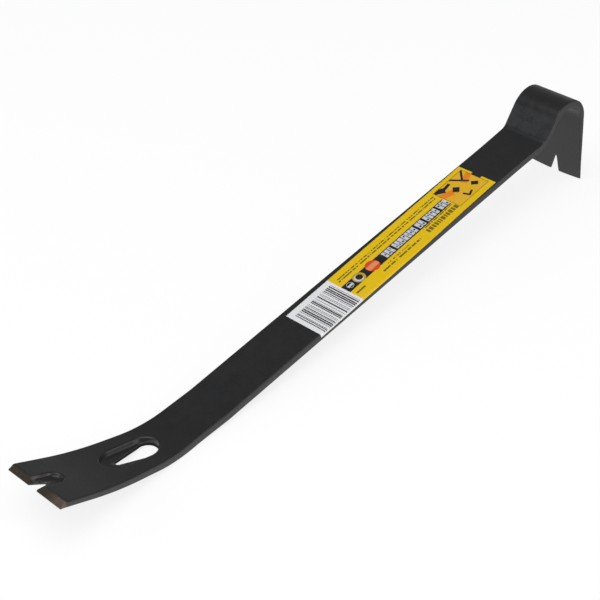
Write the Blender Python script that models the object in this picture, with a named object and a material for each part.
"""Pry bar: one flat forged steel bar and the printed label stuck on its shank.

The bar is made the way the real one is. A straight flat blank is cut to width, ground thin at
both ends, punched with the nail slot and the two nail notches, and only then formed along its
side profile: a swept-up claw at one end, and a gooseneck with a hooked blade at the other.

Blank frame, used until the bar is formed: x runs along the bar from the claw's edge to the
blade's edge, y across its width, z through its thickness with 0 in the middle.
Finished frame: +Z up, +X from the claw to the hook, lying on the heel and the blade's edge.
"""

import math

import bmesh
import bpy
from mathutils import Matrix, Vector

MM = 0.001

# Flat stock
BAR_WIDTH = 32.4 * MM
BAR_THICKNESS = 5.0 * MM
EDGE_RADIUS = 0.8 * MM

# Side profile, from the claw's edge to the blade's edge: straight runs, and bends with the
# radius of the bar's middle line. A positive bend turns the bar up as it goes towards the hook.
CLAW_SLOPE = 31.5
CLAW_TIP_RUN = 22.6 * MM
CLAW_SWEEP = (220.0 * MM, 9.7)
CLAW_ROOT_RUN = 12.5 * MM
HEEL_BEND = (90.0 * MM, 18.0)
HEEL_RUN = 24.5 * MM
SHANK_BEND = (70.0 * MM, 3.8)
SHANK_RUN = 289.4 * MM
NECK_BEND = (9.0 * MM, 42.0)
NECK_RUN = 14.2 * MM
CREST_BEND = (16.5 * MM, -140.0)
BLADE_RUN = 46.6 * MM
DEGREES_PER_STATION = 4.0

# Widths of the two flared ends
CLAW_WIDTH = 44.4 * MM
CLAW_FLARE = 102.6 * MM
NECK_WIDTH = 34.4 * MM
NECK_FLARE = 40.0 * MM
BLADE_WIDTH = 42.2 * MM
BLADE_CROWN = 1.0 * MM

# Thinned and ground ends
CLAW_THIN_RUN = 75.6 * MM
CLAW_TIP_THICKNESS = 3.6 * MM
CLAW_GRIND = 3.1 * MM
CLAW_EDGE = 0.3 * MM
BLADE_EDGE = 0.6 * MM

# Nail notch in the claw: a V right through, sunk in a round-ended recess, both slightly off
# the middle
CLAW_NOTCH_MOUTH = 6.8 * MM
CLAW_NOTCH_DEPTH = 9.3 * MM
CLAW_NOTCH_RADIUS = 1.0 * MM
CLAW_NOTCH_OFFSET = 1.3 * MM
CLAW_RECESS_WIDTH = 12.0 * MM
CLAW_RECESS_END = 20.2 * MM
CLAW_RECESS_DEPTH = 2.4 * MM

# Nail slot: a teardrop right through the floor of a round-ended recess
SLOT_START = 45.2 * MM
SLOT_END = 87.4 * MM
SLOT_WIDTH = 18.8 * MM
SLOT_RECESS_DEPTH = 3.2 * MM
SLOT_RECESS_OFFSET = 0.5 * MM
DROP_START = 56.2 * MM
DROP_END = 85.5 * MM
DROP_SMALL_RADIUS = 1.5 * MM
DROP_LARGE_RADIUS = 6.1 * MM

# Nail notch in the blade
BLADE_NOTCH_MOUTH = 6.2 * MM
BLADE_NOTCH_DEPTH = 11.4 * MM
BLADE_NOTCH_RADIUS = 0.7 * MM
BLADE_NOTCH_OFFSET = 0.4 * MM

RECESS_LIP = 0.5 * MM
ROUND_STEPS = 12
CROWN_STEPS = 8
PUNCH_OVERSHOOT = 4.0 * MM

# Label: stuck on slightly askew, so that one corner folds down over the shank's edge
LABEL_LENGTH = 168.2 * MM
LABEL_WIDTH = 30.0 * MM
LABEL_THICKNESS = 0.2 * MM
LABEL_GAP = 0.3 * MM
LABEL_CENTRE = (288.3 * MM, -1.6 * MM)
LABEL_TURN = 1.1
LABEL_NOTCH_WIDTH = 7.6 * MM
LABEL_NOTCH_DEPTH = 2.0 * MM
LABEL_FOLD_STEPS = 6

LEVELLING_PASSES = 4
SMOOTH_UP_TO = 30.0

STEEL_COLOUR = (0.025, 0.026, 0.028, 1.0)
LABEL_COLOUR = (0.90, 0.68, 0.02, 1.0)


def bend_length(bend):
    """Length of the middle line in a bend given as (radius, degrees)."""
    radius, degrees = bend
    return radius * math.radians(abs(degrees))


PROFILE = (
    (CLAW_TIP_RUN, 0.0),
    (bend_length(CLAW_SWEEP), CLAW_SWEEP[1]),
    (CLAW_ROOT_RUN, 0.0),
    (bend_length(HEEL_BEND), HEEL_BEND[1]),
    (HEEL_RUN, 0.0),
    (bend_length(SHANK_BEND), SHANK_BEND[1]),
    (SHANK_RUN, 0.0),
    (bend_length(NECK_BEND), NECK_BEND[1]),
    (NECK_RUN, 0.0),
    (bend_length(CREST_BEND), CREST_BEND[1]),
    (BLADE_RUN, 0.0),
)
BLANK_LENGTH = sum(length for length, _ in PROFILE)
BLADE_START = BLANK_LENGTH - BLADE_RUN
CREST_START = BLADE_START - bend_length(CREST_BEND)


def clear_scene():
    for obj in list(bpy.data.objects):
        bpy.data.objects.remove(obj, do_unlink=True)


def new_collection(name):
    collection = bpy.data.collections.new(name)
    bpy.context.scene.collection.children.link(collection)
    return collection


def new_object(name, shape, collection):
    """Turns a bmesh into an object of the collection, and frees the bmesh."""
    mesh = bpy.data.meshes.new(name)
    shape.to_mesh(mesh)
    shape.free()
    obj = bpy.data.objects.new(name, mesh)
    collection.objects.link(obj)
    return obj


def principled(name, colour, roughness, metallic):
    material = bpy.data.materials.new(name)
    material.use_nodes = True
    shader = material.node_tree.nodes["Principled BSDF"]
    shader.inputs["Base Color"].default_value = colour
    shader.inputs["Roughness"].default_value = roughness
    shader.inputs["Metallic"].default_value = metallic
    return material


# Forming along the side profile


def profile_at(distance):
    """(x, z, slope) of the middle line at a distance along the blank."""
    x, z, slope = 0.0, 0.0, math.radians(-CLAW_SLOPE)
    for length, degrees in PROFILE:
        run = min(distance, length)
        turn = math.radians(degrees) * run / length
        chord = run * math.sin(turn / 2) / (turn / 2) if turn else run
        x += chord * math.cos(slope + turn / 2)
        z += chord * math.sin(slope + turn / 2)
        slope += turn
        distance -= run
        if distance <= 0:
            break
    return x, z, slope


def formed(point):
    """Where a point of the blank ends up once the bar is formed."""
    x, z, slope = profile_at(point.x)
    return Vector((x - point.z * math.sin(slope), point.y, z + point.z * math.cos(slope)))


def stations():
    """Distances along the blank at which the bends need a line across the bar."""
    places = {CLAW_FLARE, CLAW_THIN_RUN, CREST_START - NECK_FLARE}
    start = 0.0
    for length, degrees in PROFILE:
        steps = max(1, math.ceil(abs(degrees) / DEGREES_PER_STATION))
        places |= {start + length * step / steps for step in range(steps + 1)}
        start += length
    return sorted(place for place in places if 0 < place < BLANK_LENGTH)


def add_lines(shape, direction, places):
    """Adds a line of edges round the shape at each place along the direction."""
    for place in places:
        bmesh.ops.bisect_plane(
            shape,
            geom=shape.verts[:] + shape.edges[:] + shape.faces[:],
            plane_co=direction * place,
            plane_no=direction,
            dist=1e-7,
        )


# The blank


def blend(value, low, high):
    """0 below low, 1 above high, and straight between them."""
    return min(1.0, max(0.0, (value - low) / (high - low)))


def half_width(distance):
    claw = (CLAW_WIDTH - BAR_WIDTH) * (1 - blend(distance, 0, CLAW_FLARE))
    neck = (NECK_WIDTH - BAR_WIDTH) * blend(distance, CREST_START - NECK_FLARE, CREST_START)
    blade = (BLADE_WIDTH - NECK_WIDTH) * blend(distance, BLADE_START, BLANK_LENGTH)
    return (BAR_WIDTH + claw + neck + blade) / 2


def faces_at(distance):
    """Heights of the blank's lower and upper faces: the claw is thinned from below, and the
    blade on its outer face."""
    claw = (BAR_THICKNESS - CLAW_TIP_THICKNESS) * (1 - blend(distance, 0, CLAW_THIN_RUN))
    blade = (BAR_THICKNESS - BLADE_EDGE) * blend(distance, BLADE_START, BLANK_LENGTH)
    return claw - BAR_THICKNESS / 2, BAR_THICKNESS / 2 - blade


def make_blank(collection):
    """A flat bar with rounded long edges, both ends drawn wide and thin."""
    shape = bmesh.new()
    bmesh.ops.create_cube(shape, size=1.0)
    bmesh.ops.scale(shape, vec=(BLANK_LENGTH, BAR_WIDTH, BAR_THICKNESS), verts=shape.verts)
    bmesh.ops.translate(shape, vec=(BLANK_LENGTH / 2, 0, 0), verts=shape.verts)
    long_edges = [e for e in shape.edges if e.calc_length() > BLANK_LENGTH / 2]
    bmesh.ops.bevel(
        shape, geom=long_edges, offset=EDGE_RADIUS, segments=3, profile=0.5, affect="EDGES"
    )
    add_lines(shape, Vector((1, 0, 0)), stations())
    for vertex in shape.verts:
        low, high = faces_at(vertex.co.x)
        vertex.co.y *= half_width(vertex.co.x) / (BAR_WIDTH / 2)
        vertex.co.z = low + (vertex.co.z / BAR_THICKNESS + 0.5) * (high - low)
    return new_object("steel_bar", shape, collection)


# Punches and grinding wheels, as cutters


def drop_outline(small_x, small_radius, large_x, large_radius):
    """Outline round two circles on the x axis, joined by their common tangents."""
    reach = large_x - small_x
    lean = math.asin((large_radius - small_radius) / abs(reach))
    points = []
    for centre, radius, towards, half_turn in (
        (large_x, large_radius, math.copysign(1, reach), math.pi / 2 + lean),
        (small_x, small_radius, -math.copysign(1, reach), math.pi / 2 - lean),
    ):
        for step in range(ROUND_STEPS + 1):
            angle = half_turn * (2 * step / ROUND_STEPS - 1)
            x = centre + towards * radius * math.cos(angle)
            y = towards * radius * math.sin(angle)
            points.append((x, y))
    return points


def loft(name, sections, collection):
    """A closed cutter through sections given as (outline, z), from the lowest to the highest."""
    shape = bmesh.new()
    rings = [[shape.verts.new((x, y, z)) for x, y in outline] for outline, z in sections]
    for lower, upper in zip(rings, rings[1:]):
        for index in range(len(lower)):
            following = (index + 1) % len(lower)
            shape.faces.new((lower[index], lower[following], upper[following], upper[index]))
    shape.faces.new(reversed(rings[0]))
    shape.faces.new(rings[-1])
    bmesh.ops.recalc_face_normals(shape, faces=shape.faces)
    cutter = new_object(name, shape, collection)
    cutter.hide_render = True
    cutter.display_type = "WIRE"
    return cutter


def shifted(outline, offset):
    """The outline moved across the bar."""
    return [(x, y + offset) for x, y in outline]


def recess_punch(name, start, end, width, depth, offset, collection):
    """A round-ended punch that sinks a recess in the top face, with an eased lip and foot."""
    top = BAR_THICKNESS / 2
    sections = []
    for inset, z in (
        (2 * RECESS_LIP, top - depth),
        (RECESS_LIP, top - depth + RECESS_LIP),
        (RECESS_LIP / 2, top - RECESS_LIP),
        (0.0, top),
        (-PUNCH_OVERSHOOT, top + PUNCH_OVERSHOOT),
    ):
        radius = width / 2 - inset
        outline = drop_outline(start + width / 2, radius, end - width / 2, radius)
        sections.append((shifted(outline, offset), z))
    return loft(name, sections, collection)


def through_punch(name, outline, collection):
    return loft(name, [(outline, -2 * BAR_THICKNESS), (outline, 2 * BAR_THICKNESS)], collection)


def notch_outline(edge_x, inwards, mouth, depth, apex_radius):
    """A V with a round apex, whose sides pass through the mouth's corners on the bar's edge."""
    centre = depth - apex_radius
    corner = math.hypot(centre, mouth / 2)
    half_angle = math.atan2(mouth / 2, centre) - math.asin(apex_radius / corner)
    reach = centre + PUNCH_OVERSHOOT
    large_radius = apex_radius + reach * math.sin(half_angle)
    small_x = edge_x + inwards * centre
    return drop_outline(small_x, apex_radius, small_x - inwards * reach, large_radius)


def crown_outline():
    """What is ground off the blade's end, so that its edge is a shallow arc."""
    points = [(BLANK_LENGTH + BLADE_WIDTH, BLADE_WIDTH), (BLANK_LENGTH + BLADE_WIDTH, -BLADE_WIDTH)]
    for step in range(-CROWN_STEPS, CROWN_STEPS + 1):
        across = 2 * step / CROWN_STEPS
        points.append((BLANK_LENGTH - BLADE_CROWN * across**2, across * BLADE_WIDTH / 2))
    return points


def grinding_cutter(collection):
    """A block whose lower face is the bevel ground on the claw's top face."""
    shape = bmesh.new()
    bmesh.ops.create_cube(shape, size=1.0)
    size = 2 * CLAW_WIDTH
    bmesh.ops.scale(shape, vec=(size, size, size), verts=shape.verts)
    bmesh.ops.translate(shape, vec=(0, 0, size / 2), verts=shape.verts)
    cutter = new_object("cut_claw_grind", shape, collection)
    cutter.hide_render = True
    cutter.display_type = "WIRE"
    rise = CLAW_TIP_THICKNESS - CLAW_EDGE
    cutter.rotation_euler.y = -math.atan(rise / CLAW_GRIND)
    cutter.location = (0, 0, BAR_THICKNESS / 2 - rise)
    return cutter


def make_cutters(collection):
    drop = drop_outline(
        DROP_START + DROP_SMALL_RADIUS,
        DROP_SMALL_RADIUS,
        DROP_END - DROP_LARGE_RADIUS,
        DROP_LARGE_RADIUS,
    )
    claw_notch = notch_outline(0.0, 1, CLAW_NOTCH_MOUTH, CLAW_NOTCH_DEPTH, CLAW_NOTCH_RADIUS)
    blade_notch = notch_outline(
        BLANK_LENGTH, -1, BLADE_NOTCH_MOUTH, BLADE_NOTCH_DEPTH, BLADE_NOTCH_RADIUS
    )
    return (
        grinding_cutter(collection),
        recess_punch(
            "cut_claw_recess",
            -CLAW_RECESS_WIDTH,
            CLAW_RECESS_END,
            CLAW_RECESS_WIDTH,
            CLAW_RECESS_DEPTH,
            CLAW_NOTCH_OFFSET,
            collection,
        ),
        through_punch("cut_claw_notch", shifted(claw_notch, CLAW_NOTCH_OFFSET), collection),
        recess_punch(
            "cut_slot_recess",
            SLOT_START,
            SLOT_END,
            SLOT_WIDTH,
            SLOT_RECESS_DEPTH,
            SLOT_RECESS_OFFSET,
            collection,
        ),
        through_punch("cut_slot_drop", drop, collection),
        through_punch("cut_blade_crown", crown_outline(), collection),
        through_punch("cut_blade_notch", shifted(blade_notch, BLADE_NOTCH_OFFSET), collection),
    )


def cut(obj, cutters):
    """Cuts the object with each cutter in turn, and keeps the result as its own mesh."""
    for cutter in cutters:
        modifier = obj.modifiers.new(cutter.name, "BOOLEAN")
        modifier.operation = "DIFFERENCE"
        modifier.object = cutter
    graph = bpy.context.evaluated_depsgraph_get()
    finished = bpy.data.meshes.new_from_object(obj.evaluated_get(graph))
    obj.modifiers.clear()
    obj.data = finished


def form(obj):
    """Bends an object of the blank frame along the side profile, and shades it smooth."""
    for vertex in obj.data.vertices:
        vertex.co = formed(vertex.co)
    obj.data.shade_smooth()
    obj.data.set_sharp_from_angle(angle=math.radians(SMOOTH_UP_TO))


def make_steel_bar(parts, cutters):
    bar = make_blank(parts)
    cut(bar, make_cutters(cutters))
    form(bar)
    bar.data.materials.append(principled("black_lacquered_steel", STEEL_COLOUR, 0.35, 0.0))
    return bar


# The label


def flat_plate(name, outline, thickness, collection):
    """A plate with the outline, lying on z = 0, as a welded mesh."""
    curve = bpy.data.curves.new(name, "CURVE")
    curve.dimensions = "2D"
    curve.fill_mode = "BOTH"
    curve.extrude = thickness / 2
    spline = curve.splines.new("POLY")
    spline.points.add(len(outline) - 1)
    for point, (x, y) in zip(spline.points, outline):
        point.co = (x, y, 0, 1)
    spline.use_cyclic_u = True
    source = bpy.data.objects.new(name, curve)
    collection.objects.link(source)
    graph = bpy.context.evaluated_depsgraph_get()
    shape = bmesh.new()
    shape.from_mesh(source.evaluated_get(graph).to_mesh())
    bpy.data.objects.remove(source, do_unlink=True)
    bmesh.ops.remove_doubles(shape, verts=shape.verts, dist=thickness / 10)
    bmesh.ops.translate(shape, vec=(0, 0, thickness / 2), verts=shape.verts)
    return new_object(name, shape, collection)


def label_outline():
    """The label's rectangle, with a shallow notch in the end nearer the hook."""
    end, side = LABEL_LENGTH / 2, LABEL_WIDTH / 2
    notch, step = LABEL_NOTCH_WIDTH / 2, end - LABEL_NOTCH_DEPTH
    corners = (
        (-end, -side),
        (end, -side),
        (end, -notch),
        (step, -notch),
        (step, notch),
        (end, notch),
        (end, side),
        (-end, side),
    )
    turn = Matrix.Rotation(math.radians(LABEL_TURN), 2)
    centre = Vector(LABEL_CENTRE)
    return [turn @ Vector(corner) + centre for corner in corners]


def wrapped(point):
    """Where a point of the flat label ends up on the bar: flat on top, and folded round the
    shank's rounded edge and down its side where the label overhangs."""
    flat = BAR_WIDTH / 2 - EDGE_RADIUS
    height = LABEL_GAP + point.z
    overhang = -point.y - flat
    if overhang <= 0:
        return Vector((point.x, point.y, BAR_THICKNESS / 2 + height))
    fold_radius = EDGE_RADIUS + LABEL_GAP
    angle = min(overhang / fold_radius, math.pi / 2)
    drop = overhang - angle * fold_radius
    radius = EDGE_RADIUS + height
    y = -flat - radius * math.sin(angle)
    z = BAR_THICKNESS / 2 - EDGE_RADIUS + radius * math.cos(angle) - drop
    return Vector((point.x, y, z))


def make_label(parts):
    label = flat_plate("product_label", label_outline(), LABEL_THICKNESS, parts)
    fold_start = BAR_WIDTH / 2 - EDGE_RADIUS
    fold_step = (EDGE_RADIUS + LABEL_GAP) * math.pi / 2 / LABEL_FOLD_STEPS
    folds = [fold_start + fold_step * step for step in range(LABEL_FOLD_STEPS + 1)]
    shape = bmesh.new()
    shape.from_mesh(label.data)
    add_lines(shape, Vector((0, -1, 0)), folds)
    for vertex in shape.verts:
        vertex.co = wrapped(vertex.co)
    shape.to_mesh(label.data)
    shape.free()
    form(label)
    label.data.materials.append(principled("printed_label", LABEL_COLOUR, 0.4, 0.0))
    return label


# Rest pose


def resting_tilt(points):
    """Angle that brings the lowest point of the heel level with the lowest of the blade."""
    middle = sum(point.x for point in points) / len(points)
    tilt = 0.0
    for _ in range(LEVELLING_PASSES):
        turn = Matrix.Rotation(-tilt, 3, "Y")
        heel = min((turn @ point for point in points if point.x < middle), key=lambda p: p.z)
        blade = min((turn @ point for point in points if point.x > middle), key=lambda p: p.z)
        tilt += math.atan2(heel.z - blade.z, blade.x - heel.x)
    return tilt


def lay_down(bar, label, collection):
    """Lays the bar on its heel and its blade's edge, with the origin under its middle."""
    points = [vertex.co.copy() for vertex in bar.data.vertices]
    turn = Matrix.Rotation(-resting_tilt(points), 3, "Y")
    turned = [turn @ point for point in points]
    low_x, high_x = min(p.x for p in turned), max(p.x for p in turned)
    pose = bpy.data.objects.new("rest_pose", None)
    collection.objects.link(pose)
    pose.matrix_world = Matrix.LocRotScale(
        (-(low_x + high_x) / 2, 0, -min(p.z for p in turned)), turn, None
    )
    bar.parent = pose
    label.parent = pose


def main():
    clear_scene()
    parts = new_collection("pry_bar")
    cutters = new_collection("cutters")
    bar = make_steel_bar(parts, cutters)
    label = make_label(parts)
    lay_down(bar, label, parts)


main()
